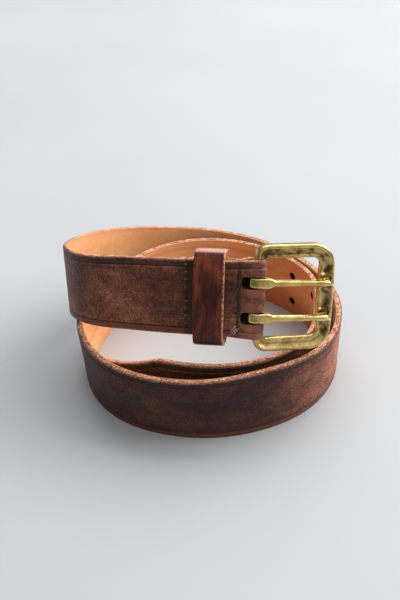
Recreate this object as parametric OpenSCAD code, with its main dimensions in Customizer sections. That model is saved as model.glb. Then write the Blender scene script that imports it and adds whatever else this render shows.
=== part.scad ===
// Leather belt with a double-prong heel-bar buckle, coiled and standing on one edge.
// Millimetres, +Z up. The origin is on the floor, under the middle of the coil.

/* [Strap] */
// Width of the strap
strap_w = 40; // [30:1:50]
// Thickness of the strap leather
strap_t = 3.6; // [2.5:0.1:5]
// Thickness of the skived end that folds back behind the bar
fold_t = 2.4; // [1.2:0.1:3.5]
// Length of the folded-back end, measured from the bar
fold_len = 41; // [38:1:60]
// How much the folded end spreads on each side, at the bar
flare = 1.1; // [0:0.1:1.5]
// Distance along the strap from the bar to the shoulder of the tail
shoulder = 965; // [700:5:1100]
// Length of the pointed end
point_len = 41; // [20:1:60]

/* [Adjusting holes] */
// Distance along the strap from the bar to the first pair of holes
hole_first = 790; // [600:5:1000]
// Spacing of the pairs along the strap
hole_step = 25.4; // [20:0.1:30]
// Number of pairs
hole_pairs = 5; // [1:1:7]
// Spacing of the two holes of a pair, and of the two prongs
pair_pitch = 19; // [15:0.5:25]
// Radius of a hole
hole_r = 2.1; // [1.5:0.1:3]

/* [Buckle] */
// Height of the frame, across the strap
frame_h = 58; // [50:0.2:70]
// Distance from the bar to the far edge of the frame
frame_l = 42.6; // [30:0.2:60]
// Width of the rails
rail_w = 7.6; // [5:0.1:9]
// Outer radius of the frame's far corners
corner_r = 12; // [10:0.5:14]
// Outer radius of the corners beside the bar
near_r = 8.6; // [8:0.1:10]
// Radius of the bar
bar_r = 2.2; // [1.5:0.1:3]
// Running clearance round the bar
bar_gap = 0.05; // [0.02:0.01:0.1]
// Angle by which the frame rests swung in behind the line of the strap
frame_swing = 17; // [0:1:25]

/* [Prongs] */
// Radius of a prong's shaft
prong_r = 1.85; // [1.2:0.05:2.5]
// Width of a prong's base
prong_w = 5.2; // [4:0.1:7]
// Degrees by which the prongs slant down from square to the bar
prong_slant = 2.4; // [0:0.2:3]
// Radius of the eye that turns on the bar
eye_r = 4; // [3.4:0.1:5]

/* [Keeper] */
// Width of the keeper, along the strap
keeper_w = 16; // [10:0.5:25]
// Height of the keeper, across the strap
keeper_h = 51; // [48:0.5:60]
// Height of the keeper's middle above the middle of the strap
keeper_up = 0.8; // [0:0.1:1.2]
// Thickness of the keeper's leather
keeper_t = 2.6; // [1.5:0.1:3.5]
// Distance along the strap from the bar to the middle of the keeper
keeper_at = 23; // [20:0.5:26]

/* [Stitches] */
// Distances along the strap from the bar to the two rows
row_at = [8, 35.5];
// Stitches in a row
stitches = 9; // [5:1:12]
// Radius of the thread
thread_r = 0.45; // [0.3:0.05:0.8]

/* [Route] */
// Lower edge of the strap every 30 degrees round the coil: radius, height, lean of the strap
route = [
    [92, 54, -14], [68, 55.5, -16.5], [61, 55, -20], [66, 51.5, -14], [78, 41, -5],
    [80.5, 24.5, 7], [78, 11.5, 12], [72.5, 3.5, 12], [70, 0.5, 8], [72, 0, -1],
    [73, 0, -2], [75.5, 0, 0], [77, 0, 3], [77.5, 0, 0], [79, 0, 5],
    [80, 0, 7], [74.5, 0, 5], [66.5, 0, -2], [65, 0, -3], [64.5, 0, 1],
    [66, 0, 0], [67.5, 0, -3], [68.5, 0, -4], [68.5, 0, -8], [65, 0, 4],
    [67, 0, 2], [69, 0, -2], [70.5, 0, -2.5], [67, 0, 3], [61.5, 0, -1.5]
];
// Bearing of the first route station from the middle of the coil
route_start = -40; // [-60:1:0]
// Angle between two route stations
route_step = 30; // [30:1:30]
// Route station of the bar
bar_station = 1.04; // [1:0.01:1.1]

/* [Part] */
// Which node to draw: all, or one name

/* [Hidden] */
$fn = 64;
leather = [0.24, 0.13, 0.09];
tan_leather = [0.30, 0.11, 0.07];
brass = [0.72, 0.58, 0.28];
thread = [0.10, 0.06, 0.05];

// ---- The strap's path ----
last = len(route) - 1;
function unit(v) = v / norm(v);
function station(i) = i < 0 ? 2 * route[0] - route[1]
    : i > last ? 2 * route[last] - route[last - 1] : route[i];
function blend(a, b, c, d, t) = 0.5 * (2 * b + (c - a) * t
    + (2 * a - 5 * b + 4 * c - d) * t * t + (3 * b - a - 3 * c + d) * t * t * t);
function smooth(u) = let (k = floor(u))
    blend(station(k - 1), station(k), station(k + 1), station(k + 2), u - k);
function bearing(u) = route_start - route_step * u;
function lower(u) = let (q = smooth(u), a = bearing(u)) [q[0] * cos(a), q[0] * sin(a), q[1]];
function heading(u) = unit(lower(u + 0.02) - lower(u - 0.02));
function upright(u) = let (t = heading(u)) unit([0, 0, 1] - t[2] * t);
function outward(u) = cross(upright(u), heading(u));
// Across the strap (up its width), and out of its outer face
function across(u) = let (q = smooth(u)) cos(q[2]) * upright(u) + sin(q[2]) * outward(u);
function facing(u) = let (q = smooth(u)) cos(q[2]) * outward(u) - sin(q[2]) * upright(u);
function middle(u) = lower(u) + strap_w / 2 * across(u);

// Distance along the middle of the strap, as a table from distance to station
fine = 0.05;
marks = [for (u = bar_station; u <= last; u = u + fine) middle(u)];
function sums(v, i, total) = i >= len(v) ? []
    : let (d = total + (i == 0 ? 0 : norm(v[i] - v[i - 1]))) concat([d], sums(v, i + 1, d));
run = sums(marks, 0, 0);
table = [for (i = [0:len(run) - 1]) [run[i], bar_station + i * fine]];
function at(d) = lookup(d, table);

// ---- Rings of the strap: four corners each, upper outer, upper inner, lower inner, lower outer ----
function spread(d) = flare * max(0, 1 - d / 15);
function half_w(d) = let (t = max(0, min(1, (d - shoulder) / point_len)))
    (strap_w / 2 + spread(d)) * (1 - t) + 1.5 * t * t;
function ring(c, v, n, h, t) = [c + h * v + t / 2 * n, c + h * v - t / 2 * n,
                                c - h * v - t / 2 * n, c - h * v + t / 2 * n];
function front_ring(d) = let (u = at(d))
    ring(middle(u), across(u), facing(u), half_w(d), strap_t);
// Room between the two layers: full round the bar and for the keeper, almost none at the stitches
pocket = 3.6;
room = [[0, 2 * bar_r], [3, 2 * bar_r - 0.5], [7.5, 1], [8.5, 1], [12, pocket],
        [33, pocket], [35, 1], [36, 1], [fold_len, 0.6]];
function back_ring(d) = let (u = at(d), n = facing(u))
    ring(middle(u) - (strap_t / 2 + lookup(d, room) + fold_t / 2) * n, across(u), n,
         strap_w / 2 + spread(d), fold_t);
bar_c = let (u = bar_station) middle(u) - (strap_t / 2 + bar_r) * facing(u);
bar_v = across(bar_station);
bar_n = facing(bar_station);
bar_x = -heading(bar_station);
function bend_ring(a) = let (t = fold_t + (strap_t - fold_t) * (a + 90) / 180,
        o = sin(a) * bar_n + cos(a) * bar_x)
    ring(bar_c + (bar_r + t / 2) * o, bar_v, o, strap_w / 2 + flare, t);
back = [for (d = [fold_len:-1:1]) let (r = back_ring(d)) [r[1], r[0], r[3], r[2]]];
bend = [for (a = [-90:12:78]) let (r = bend_ring(a)) r];
// Flat panels, placed so that each hole falls in the middle of one
panel = hole_step / 4;
first = (hole_first - panel / 2) % panel;
function panels(from, to) = [for (k = [from:to]) front_ring(first + k * panel)];
k_buckle = 3;
k_holes = round((hole_first - panel / 2 - first) / panel) - 1;
k_tail = k_holes + 4 * (hole_pairs - 1) + 3;
k_point = floor((shoulder - 2 - first) / panel);
// The four lengths that make up the strap, end to end
buckle_end = concat(back, bend, [front_ring(0), front_ring(first)], panels(1, k_buckle));
plain = panels(k_buckle, k_holes);
holed = panels(k_holes, k_tail);
tail = concat(panels(k_tail, k_point), [for (i = [0:14]) front_ring(shoulder + point_len * i / 14)]);
function settle(p) = [p[0], p[1], max(0, p[2] - 0.3)];
function settled(rs) = [for (r = rs) [for (p = r) settle(p)]];
rings = settled(concat(buckle_end, plain, holed, tail));

// The coil is centred over the origin
all_x = [for (r = rings) for (p = r) p[0]];
all_y = [for (r = rings) for (p = r) p[1]];
shift = [-(min(all_x) + max(all_x)) / 2, -(min(all_y) + max(all_y)) / 2, 0];

// Put children in a local frame: x along a, y along b, z along c, origin p
module place(p, a, b, c) {
    translate(shift) multmatrix([
        [a[0], b[0], c[0], p[0]],
        [a[1], b[1], c[1], p[1]],
        [a[2], b[2], c[2], p[2] - 0.3],
        [0, 0, 0, 1]]) children();
}
// At distance d from the bar: x back towards the bar, y up the strap's width, z out of its face
module on_strap(d) {
    u = at(d);
    place(middle(u), -heading(u), across(u), facing(u)) children();
}
module at_bar() place(bar_c, bar_x, bar_v, bar_n) children();
// The frame and its prongs share the bar but rest swung in behind the strap
module at_frame() at_bar() rotate([0, frame_swing, 0]) children();

// A closed skin over a list of four-cornered rings
module skin(rs) {
    n = len(rs);
    pts = [for (r = rs) for (p = r) p];
    sides = [for (i = [0:n - 2]) for (k = [0:3]) let (a = 4 * i + k, b = 4 * i + (k + 1) % 4)
        each [[a, b + 4, b], [a, a + 4, b + 4]]];
    ends = [[3, 1, 2], [3, 0, 1], [4 * n - 4, 4 * n - 1, 4 * n - 3], [4 * n - 3, 4 * n - 1, 4 * n - 2]];
    polyhedron(points = pts, faces = concat(sides, ends), convexity = 12);
}

// ---- Sub-parts ----
module hole_pair(d) {
    for (y = [-1, 1]) on_strap(d)
        translate([0, y * pair_pitch / 2, -strap_t / 2 - 0.2])
            cylinder(h = strap_t + 0.4, r = hole_r);
}

// Opening in the fold for a prong: a slot with rounded corners, and a slit round the bend
module prong_slot(y) {
    w = prong_w + 1.2;
    r = 1.2;
    end = -6.7;
    at_bar() translate([0, y, 0]) {
        for (s = [-1, 1]) translate([end + r, s * (w / 2 - r), 0]) cylinder(h = 9, r = r);
        translate([end, -w / 2 + r, 0]) cube([4, w - 2 * r, 9]);
        translate([end + r, -w / 2, 0]) cube([7 - end - r, w, 9]);
        translate([-6.4, -w / 2, -8]) cube([13.4, w, 8.001]);
    }
}

module strap() color(leather) {
    difference() {
        translate(shift) skin(settled(buckle_end));
        at_bar() rotate([90, 0, 0]) cylinder(h = strap_w + 8, r = bar_r + bar_gap, center = true);
        for (y = [-1, 1]) prong_slot(y * pair_pitch / 2);
    }
    translate(shift) skin(settled(plain));
    difference() {
        translate(shift) skin(settled(holed));
        for (i = [0:hole_pairs - 1]) hole_pair(hole_first + i * hole_step);
    }
    translate(shift) skin(settled(tail));
}

// Section of a rail: x is the distance in from the frame's outer edge, y is up out of its face
rail_section = [[0.5, -1.6], [0, -1.1], [0, 2.4], [0.9, 3.3], [2.2, 3.2], [5.4, 2], [6.8, 2.2],
                [rail_w, 1.5], [rail_w, -1.1], [rail_w - 0.5, -1.6]];

module rail(len) rotate([90, 0, 90]) linear_extrude(height = len) polygon(rail_section);

module corner(r) rotate_extrude(angle = 90) polygon([for (p = rail_section) [r - p[0], p[1]]]);

module buckle_frame() color(brass) at_frame() difference() {
    y0 = frame_h / 2;
    // Middles of the corner curves: the near pair beside the bar, and the far pair
    near = near_r - 0.4;
    far = frame_l - corner_r;
    // The near corners are cut off level here, clear of the fold
    level = y0 - rail_w + 0.2;
    union() {
        // Lower rail, upper rail and far rail
        translate([near, -y0, 0]) rail(far - near);
        mirror([0, 1, 0]) translate([near, -y0, 0]) rail(far - near);
        translate([frame_l, -y0 + corner_r, 0]) rotate([0, 0, 90]) rail(frame_h - 2 * corner_r);
        for (s = [-1, 1]) {
            translate([far, s * (y0 - corner_r), 0]) rotate([0, 0, s > 0 ? 0 : -90]) corner(corner_r);
            intersection() {
                translate([near, s * (y0 - near_r), 0]) rotate([0, 0, s > 0 ? 90 : 180]) corner(near_r);
                translate([-1, s > 0 ? level : -y0 - 1, -3]) cube([near + 2, y0 + 1 - level, 8]);
            }
        }
        rotate([90, 0, 0]) cylinder(h = 2 * level + 1.4, r = bar_r, center = true);
    }
    // Rests for the two prongs
    for (s = [-1, 1]) slanted(s * pair_pitch / 2) translate([frame_l - rail_w - 2, 0, 4.5])
        rotate([0, 90, 0]) cylinder(h = rail_w - 0.2, r = prong_r + 0.3);
}

// A prong's line: from the bar at height y, slanting a little down
module slanted(y) translate([0, y, 0]) rotate([0, 0, -prong_slant]) children();

// Side view of a prong's base: from the eye, up through the slot, to the shaft
base_side = [[0, 0], [-4, 2.1], [-3.2, 5], [-1.6, 6.2], [0.4, 6.6], [7, 6.6], [8, 6.1],
             [8, 3], [7, 2.6], [3.4, 2.1]];

module prong(y) color(brass) at_frame() difference() {
    slanted(y) {
        rotate([90, 0, 0]) cylinder(h = prong_w, r = eye_r, center = true);
        rotate([90, 0, 0]) translate([0, 0, -prong_w / 2])
            linear_extrude(height = prong_w) polygon(base_side);
        translate([7, 0, 4.5]) rotate([0, 90, 0]) cylinder(h = frame_l - 4.4 - 7, r = prong_r);
        translate([frame_l - 4.4, 0, 4.5]) sphere(r = prong_r);
    }
    translate([0, y, 0]) rotate([90, 0, 0])
        cylinder(h = prong_w + 2, r = bar_r + bar_gap, center = true);
}
module prong_upper() prong(pair_pitch / 2);
module prong_lower() prong(-pair_pitch / 2);

module round_rect(x0, x1, y0, y1, r) {
    translate([x0 + r, y0]) square([x1 - x0 - 2 * r, y1 - y0]);
    translate([x0, y0 + r]) square([x1 - x0, y1 - y0 - 2 * r]);
    for (x = [x0 + r, x1 - r]) for (y = [y0 + r, y1 - r]) translate([x, y]) circle(r = r);
}

// Closed loop: its thin back run lies in the pocket, its front run leaves room for the tail
module keeper() color(tan_leather) {
    back_z = -4.3;
    front_z = 8.3;
    on_strap(keeper_at) rotate([0, -90, 0]) translate([0, 0, -keeper_w / 2])
        linear_extrude(height = keeper_w) difference() {
            round_rect(back_z, front_z, keeper_up - keeper_h / 2, keeper_up + keeper_h / 2, 3.4);
            round_rect(back_z + 1.4, front_z - keeper_t, keeper_up - keeper_h / 2 + keeper_t,
                       keeper_up + keeper_h / 2 - keeper_t, 1.2);
        }
}

// One row of saddle stitches: a leg through both layers at each hole, a stitch on each face
module stitch_row(d, span) {
    z0 = -(strap_t / 2 + 1 + fold_t) - 0.15;
    z1 = strap_t / 2 + 0.15;
    step = span / stitches;
    color(thread) on_strap(d) {
        for (i = [0:stitches]) translate([0, -span / 2 + i * step, z0])
            cylinder(h = z1 - z0, r = thread_r);
        for (z = [z0, z1]) {
            translate([0, 0, z]) rotate([90, 0, 0]) cylinder(h = span, r = thread_r, center = true);
            for (y = [-1, 1]) translate([0, y * span / 2, z]) sphere(r = thread_r);
        }
    }
}
module stitch_row_buckle() stitch_row(row_at[0], strap_w - 5);
module stitch_row_tail() stitch_row(row_at[1], strap_w - 5);

strap();
buckle_frame();
prong_upper();
prong_lower();
keeper();
stitch_row_buckle();
stitch_row_tail();
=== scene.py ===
import math
import bpy
import bmesh
import numpy as np
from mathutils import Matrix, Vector, noise


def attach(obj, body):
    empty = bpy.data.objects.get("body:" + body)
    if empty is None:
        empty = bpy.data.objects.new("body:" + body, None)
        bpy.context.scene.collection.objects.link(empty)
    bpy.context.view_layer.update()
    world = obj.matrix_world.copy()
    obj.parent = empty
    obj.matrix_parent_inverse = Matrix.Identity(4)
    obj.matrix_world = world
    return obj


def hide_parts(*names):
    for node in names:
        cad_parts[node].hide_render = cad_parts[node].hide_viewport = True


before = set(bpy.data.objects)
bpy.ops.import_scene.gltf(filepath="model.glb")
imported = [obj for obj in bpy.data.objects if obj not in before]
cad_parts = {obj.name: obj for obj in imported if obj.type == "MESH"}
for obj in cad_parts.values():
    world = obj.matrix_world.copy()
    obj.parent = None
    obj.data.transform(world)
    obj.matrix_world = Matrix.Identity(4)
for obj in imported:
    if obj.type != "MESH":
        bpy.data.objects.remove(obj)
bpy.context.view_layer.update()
MM = 0.001

# ---------------------------------------------------------------- sizes, in millimetres
STRAP_W = 40.0          # strap width
STRAP_T = 3.6           # strap thickness
FOLD_T = 2.4            # thinned leather behind the bar
FOLD_LEN = 41.0         # length turned back behind the bar
FLARE = 1.1             # extra half width at the fold
SHOULDER = 965.0        # where the tail starts to narrow
POINT_LEN = 41.0        # length of the point
HOLE_FIRST, HOLE_STEP, HOLE_PAIRS = 790.0, 25.4, 5
PAIR_PITCH = 19.0       # between the two holes of a pair, and between the prongs
HOLE_R = 2.1
CREASE = 3.7            # crease line, in from the strap's edge
FRAME_H, FRAME_L = 58.0, 42.6
RAIL_W, CORNER_R, NEAR_R = 7.6, 12.0, 8.6
BAR_R = 2.2
SWING = 17.0            # the frame rests swung in behind the strap, degrees
PRONG_Z = 4.5           # prong axis above the frame's mid plane
SLANT = 2.4             # the prongs slant down a little, degrees
KEEPER_AT, KEEPER_W, KEEPER_UP = 23.0, 16.0, 0.8
ROWS = (8.0, 35.5)      # stitch rows, distance from the bar
STITCHES = 9
STITCH_SPAN = STRAP_W - 5
STITCH_PITCH = STITCH_SPAN / STITCHES
SLOT_HALF, SLOT_CORNER = 3.2, 2.0       # half width and corner radius of the prongs' slots
SLOT_FRONT, SLOT_BACK = 6.7, 4.0        # how far a slot runs into the front and the back layer
SETTLE = 0.3            # how far the coil sinks so that it stands flat
COIL_SHIFT = np.array([4.125, 1.651, 0.0])   # centres the coil over the origin

# Lower edge of the coiled strap every 30 degrees: radius, height, outward lean
ROUTE = np.array([
    [92, 54, -14], [68, 55.5, -16.5], [61, 55, -20], [66, 51.5, -14], [78, 41, -5],
    [80.5, 24.5, 7], [78, 11.5, 12], [72.5, 3.5, 12], [70, 0.5, 8], [72, 0, -1],
    [73, 0, -2], [75.5, 0, 0], [77, 0, 3], [77.5, 0, 0], [79, 0, 5],
    [80, 0, 7], [74.5, 0, 5], [66.5, 0, -2], [65, 0, -3], [64.5, 0, 1],
    [66, 0, 0], [67.5, 0, -3], [68.5, 0, -4], [68.5, 0, -8], [65, 0, 4],
    [67, 0, 2], [69, 0, -2], [70.5, 0, -2.5], [67, 0, 3], [61.5, 0, -1.5]], float)
ROUTE_START, ROUTE_STEP, BAR_STATION = -40.0, 30.0, 1.04

# ---------------------------------------------------------------- the strap's path
_first = 2 * ROUTE[0] - ROUTE[1]
_past = 2 * ROUTE[-1] - ROUTE[-2]
STATIONS = np.vstack([_first, ROUTE, _past, _past, _past])


def unit(v):
    return v / np.linalg.norm(v, axis=-1, keepdims=True)


def spline(a, b, c, d, t):
    """Catmull-Rom curve from b to c as t goes from 0 to 1."""
    return 0.5 * (2 * b + (c - a) * t + (2 * a - 5 * b + 4 * c - d) * t ** 2
                  + (3 * b - a - 3 * c + d) * t ** 3)


def smooth(u):
    """Radius, height and lean at station u of the route."""
    u = np.asarray(u, float)
    k = np.floor(u).astype(int)
    t = (u - k)[..., None]
    a, b, c, d = (STATIONS[k + i] for i in range(4))
    return spline(a, b, c, d, t)


def lower(u):
    """Lower edge of the strap at station u."""
    q = smooth(u)
    a = np.radians(ROUTE_START - ROUTE_STEP * np.asarray(u, float))
    return np.stack([q[..., 0] * np.cos(a), q[..., 0] * np.sin(a), q[..., 1]], -1)


def path_frame(u):
    """Middle of the strap, heading, across (up its width) and facing (out of its outer face)."""
    u = np.asarray(u, float)
    h = unit(lower(u + 0.02) - lower(u - 0.02))
    up = unit(np.array([0, 0, 1.0]) - h[..., 2:3] * h)
    out = np.cross(up, h)
    lean = np.radians(smooth(u)[..., 2:3])
    v = np.cos(lean) * up + np.sin(lean) * out
    n = np.cos(lean) * out - np.sin(lean) * up
    return lower(u) + STRAP_W / 2 * v, h, v, n


_marks_u = np.arange(BAR_STATION, len(ROUTE) - 1 + 1e-9, 0.05)
_marks = path_frame(_marks_u)[0]
_run = np.concatenate([[0], np.cumsum(np.linalg.norm(np.diff(_marks, axis=0), axis=1))])


def at(d):
    """Middle, heading, across and facing at distance d from the bar."""
    return path_frame(np.interp(d, _run, _marks_u))


_c0, _h0, BAR_V, BAR_N = (x for x in at(0.0))
BAR_C = _c0 - (STRAP_T / 2 + BAR_R) * BAR_N
BAR_X = -_h0


def settle(p):
    """Model position in metres: the coil stands flat on the floor."""
    p = p + COIL_SHIFT
    p[..., 2] = np.maximum(0.0, p[..., 2] - SETTLE)
    return p * MM


def half_width(d):
    t = (d - SHOULDER) / POINT_LEN
    t = np.clip(0.5 * (t + np.sqrt(t * t + 0.0006)), 0, 1)
    spread = FLARE * np.maximum(0, 1 - np.abs(d) / 15)
    return (STRAP_W / 2 + spread) * (1 - t) + 1.5 * t * t


BEND = math.pi * (BAR_R + 0.5 * (STRAP_T + FOLD_T) / 2)   # length of leather round the bar
BACK_END = -BEND - FOLD_LEN
ROOM = np.array([[0, 2 * BAR_R], [3, 4.6], [5.4, 4.4], [6.2, 3.2], [7.4, 0.7], [8.6, 0.6], [9.6, 1.2],
                 [12.6, 3.7], [33.2, 3.7], [34.8, 0.7], [35.5, 0.5], [37, 0.5], [FOLD_LEN, 0.5]])


def room(d):
    """Space between the two layers behind the strap."""
    wide = [np.interp(d + k, ROOM[:, 0], ROOM[:, 1]) for k in (-0.6, -0.3, 0, 0.3, 0.6)]
    return sum(wide) / 5


def thickness(s):
    a = np.clip(-s / BEND, 0, 1)
    return STRAP_T + (FOLD_T - STRAP_T) * a


def lay_strap(flat):
    """Flat strap to its place: s along it from the bar (behind 0 it goes round the bar and
    back), w across it, h out of its outer face."""
    s, w, h = flat[:, 0], flat[:, 1:2], flat[:, 2:3]
    out = np.zeros_like(flat)
    front = s >= 0
    c, _, v, n = at(s[front])
    out[front] = c + w[front] * v + h[front] * n
    back = s < -BEND
    d = -BEND - s[back]
    c, _, v, n = at(d)
    gap = (STRAP_T / 2 + room(d) + FOLD_T / 2)[:, None]
    out[back] = c - (gap + h[back]) * n + w[back] * v
    mid = ~front & ~back
    a = math.pi * (0.5 + s[mid] / BEND)[:, None]
    o = np.sin(a) * BAR_N + np.cos(a) * BAR_X
    t = thickness(s[mid])[:, None]
    slack = 0.5 * np.sin(math.pi * -s[mid] / BEND)[:, None]
    out[mid] = BAR_C + (BAR_R + slack + t / 2 + h[mid]) * o + w[mid] * BAR_V
    return settle(out)


def local_to_model(pts, origin, x, y, z):
    """Points given in a local frame to the model, in metres."""
    pts = np.asarray(pts, float)
    p = origin + pts[:, 0:1] * x + pts[:, 1:2] * y + pts[:, 2:3] * z
    return (p + COIL_SHIFT - np.array([0, 0, SETTLE])) * MM


def frame_axes():
    """The buckle's frame and prongs: x away from the bar, y up, z out of the face."""
    a = math.radians(SWING)
    x = math.cos(a) * BAR_X - math.sin(a) * BAR_N
    z = math.sin(a) * BAR_X + math.cos(a) * BAR_N
    return BAR_C, x, BAR_V, z


def strap_axes(d):
    c, h, v, n = at(d)
    return c, -h, v, n


# ---------------------------------------------------------------- meshes
def make_object(name, verts, faces, mats, bands=None, sharp=None):
    mesh = bpy.data.meshes.new(name)
    mesh.from_pydata([tuple(v) for v in verts], [], faces)
    for m in mats:
        mesh.materials.append(m)
    if bands is not None:
        mesh.polygons.foreach_set("material_index", bands)
    work = bmesh.new()
    work.from_mesh(mesh)
    bmesh.ops.recalc_face_normals(work, faces=work.faces)
    work.to_mesh(mesh)
    work.free()
    mesh.polygons.foreach_set("use_smooth", [True] * len(mesh.polygons))
    if sharp is not None:
        mesh.set_sharp_from_angle(angle=math.radians(sharp))
    obj = bpy.data.objects.new(name, mesh)
    bpy.context.scene.collection.objects.link(obj)
    return obj


def loft(rings, wrap=False, caps=True, loop_bands=None, cap_band=0):
    """Vertices, quads and material bands of a skin over rings of equal length."""
    n, k = rings.shape[:2]
    verts = rings.reshape(-1, 3)
    faces, bands = [], []
    for i in range(n if wrap else n - 1):
        j = (i + 1) % n
        for a in range(k):
            b = (a + 1) % k
            faces.append((i * k + a, i * k + b, j * k + b, j * k + a))
            bands.append(0 if loop_bands is None else loop_bands[a])
    if caps and not wrap:
        faces.append(tuple(range(k - 1, -1, -1)))
        faces.append(tuple((n - 1) * k + a for a in range(k)))
        bands += [cap_band, cap_band]
    return verts, faces, bands


def join_parts(parts):
    """Several (verts, faces, bands) as one."""
    verts, faces, bands, base = [], [], [], 0
    for v, f, b in parts:
        verts.append(np.asarray(v, float))
        faces += [tuple(i + base for i in face) for face in f]
        bands += list(b)
        base += len(v)
    return np.vstack(verts), faces, bands


def store(obj, name, values):
    values = np.asarray(values, float)
    kind = "FLOAT_VECTOR" if values.ndim == 2 else "FLOAT"
    layer = obj.data.attributes.new(name, kind, "POINT")
    layer.data.foreach_set("vector" if values.ndim == 2 else "value", values.ravel())


def catmull(points, per, closed=True):
    """A smooth curve through points."""
    p = np.asarray(points, float)
    n = len(p)
    out = []
    for i in range(n if closed else n - 1):
        if closed:
            a, b, c, d = p[(i - 1) % n], p[i], p[(i + 1) % n], p[(i + 2) % n]
        else:
            a, b, c, d = p[max(i - 1, 0)], p[i], p[i + 1], p[min(i + 2, n - 1)]
        for j in range(per):
            out.append(spline(a, b, c, d, j / per))
    if not closed:
        out.append(p[-1])
    return np.array(out)


def wander(x, y, size, seed=0.0):
    """Gentle unevenness of hand-worked material, from -1 to 1."""
    return noise.noise(Vector((x / size, y / size, seed)))


# ---------------------------------------------------------------- procedural materials
class Finish:
    """One procedural material, built node by node."""

    def __init__(self, name):
        self.mat = bpy.data.materials.new(name)
        self.mat.use_nodes = True
        self.tree = self.mat.node_tree
        self.tree.nodes.clear()
        out = self.node("ShaderNodeOutputMaterial")
        self.bsdf = self.node("ShaderNodeBsdfPrincipled")
        self.tree.links.new(self.bsdf.outputs[0], out.inputs[0])

    def node(self, kind, **facts):
        n = self.tree.nodes.new(kind)
        for key, value in facts.items():
            setattr(n, key, value)
        return n

    def put(self, socket, value):
        if isinstance(value, bpy.types.NodeSocket):
            self.tree.links.new(value, socket)
        elif isinstance(value, (tuple, list)) and socket.type == "RGBA" and len(value) == 3:
            socket.default_value = (*value, 1.0)
        else:
            socket.default_value = value

    def set(self, **values):
        for key, value in values.items():
            self.put(self.bsdf.inputs[key.replace("_", " ").title().replace("Ior", "IOR")], value)

    def attribute(self, name, vector=True):
        n = self.node("ShaderNodeAttribute", attribute_name=name)
        return n.outputs["Vector" if vector else "Fac"]

    def here(self):
        """Position on the object, in millimetres."""
        n = self.node("ShaderNodeTexCoord")
        return self.stretch(n.outputs["Object"], (1000, 1000, 1000))

    def stretch(self, vec, by):
        n = self.node("ShaderNodeVectorMath", operation="MULTIPLY")
        self.put(n.inputs[0], vec)
        n.inputs[1].default_value = by
        return n.outputs[0]

    def split(self, vec):
        n = self.node("ShaderNodeSeparateXYZ")
        self.put(n.inputs[0], vec)
        return n.outputs

    def join(self, x, y, z):
        n = self.node("ShaderNodeCombineXYZ")
        for i, v in enumerate((x, y, z)):
            self.put(n.inputs[i], v)
        return n.outputs[0]

    def noise(self, vec, size, detail=3.0, rough=0.55, warp=0.0):
        """Cloudy noise with lumps about size millimetres across."""
        n = self.node("ShaderNodeTexNoise")
        self.put(n.inputs["Vector"], vec)
        n.inputs["Scale"].default_value = 1.0 / size
        n.inputs["Detail"].default_value = detail
        n.inputs["Roughness"].default_value = rough
        n.inputs["Distortion"].default_value = warp
        return n.outputs["Fac"]

    def cells(self, vec, size, smoothness):
        """Distance from the middle of soft-edged pebbles."""
        n = self.node("ShaderNodeTexVoronoi", feature="SMOOTH_F1")
        self.put(n.inputs["Vector"], vec)
        n.inputs["Scale"].default_value = 1.0 / size
        n.inputs["Smoothness"].default_value = smoothness
        return n.outputs["Distance"]

    def math(self, op, a, b=0.0, c=0.0):
        n = self.node("ShaderNodeMath", operation=op)
        for i, v in enumerate((a, b, c)):
            self.put(n.inputs[i], v)
        return n.outputs[0]

    def times(self, a, b):
        return self.math("MULTIPLY", a, b)

    def plus(self, a, b):
        return self.math("ADD", a, b)

    def fade(self, value, start, end, low=0.0, high=1.0):
        """low at start, high at end, smooth between."""
        n = self.node("ShaderNodeMapRange", interpolation_type="SMOOTHSTEP")
        self.put(n.inputs[0], value)
        for i, v in enumerate((start, end, low, high)):
            n.inputs[i + 1].default_value = v
        return n.outputs[0]

    def ramp(self, value, *stops):
        n = self.node("ShaderNodeValToRGB")
        line = n.color_ramp
        while len(line.elements) < len(stops):
            line.elements.new(0.5)
        for e, (place, colour) in zip(line.elements, stops):
            e.position = place
            e.color = (*colour, 1.0)
        self.put(n.inputs[0], value)
        return n.outputs[0]

    def mix(self, amount, a, b, how="MIX"):
        n = self.node("ShaderNodeMix", data_type="RGBA", blend_type=how)
        self.put(n.inputs[0], amount)
        self.put(n.inputs[6], a)
        self.put(n.inputs[7], b)
        return n.outputs[2]

    def tint(self, colour, where, amount, paint, how="MIX"):
        """Paint over a colour where a mask says, by up to amount."""
        return self.mix(self.times(where, amount), colour, paint, how)

    def bump(self, height, depth, strength=1.0, under=None):
        """Relief depth millimetres deep."""
        n = self.node("ShaderNodeBump")
        n.inputs["Strength"].default_value = strength
        n.inputs["Distance"].default_value = depth * MM
        self.put(n.inputs["Height"], height)
        if under is not None:
            self.put(n.inputs["Normal"], under)
        return n.outputs[0]


def line_at(f, value, middle, width):
    """1 on a line, 0 beside it."""
    off = f.math("ABSOLUTE", f.math("SUBTRACT", value, middle))
    return f.fade(off, 0.0, width, 1.0, 0.0)


def near_holes(f, s, w, inner, outer):
    """1 at the holes' rims, fading to 0 at outer millimetres from their middles."""
    half = HOLE_STEP / 2
    along = f.math("SUBTRACT", f.math("WRAP", s, HOLE_FIRST + half, HOLE_FIRST - half), HOLE_FIRST)
    over = f.math("SUBTRACT", f.math("ABSOLUTE", w), PAIR_PITCH / 2)
    dist = f.math("SQRT", f.plus(f.times(along, along),
                                 f.times(over, over)))
    ring = f.fade(dist, inner, outer, 1.0, 0.0)
    last_hole = HOLE_FIRST + HOLE_STEP * (HOLE_PAIRS - 1)
    after = f.math("GREATER_THAN", s, HOLE_FIRST - half)
    before = f.math("LESS_THAN", s, last_hole + half)
    return f.times(ring, f.times(after, before))


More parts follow.
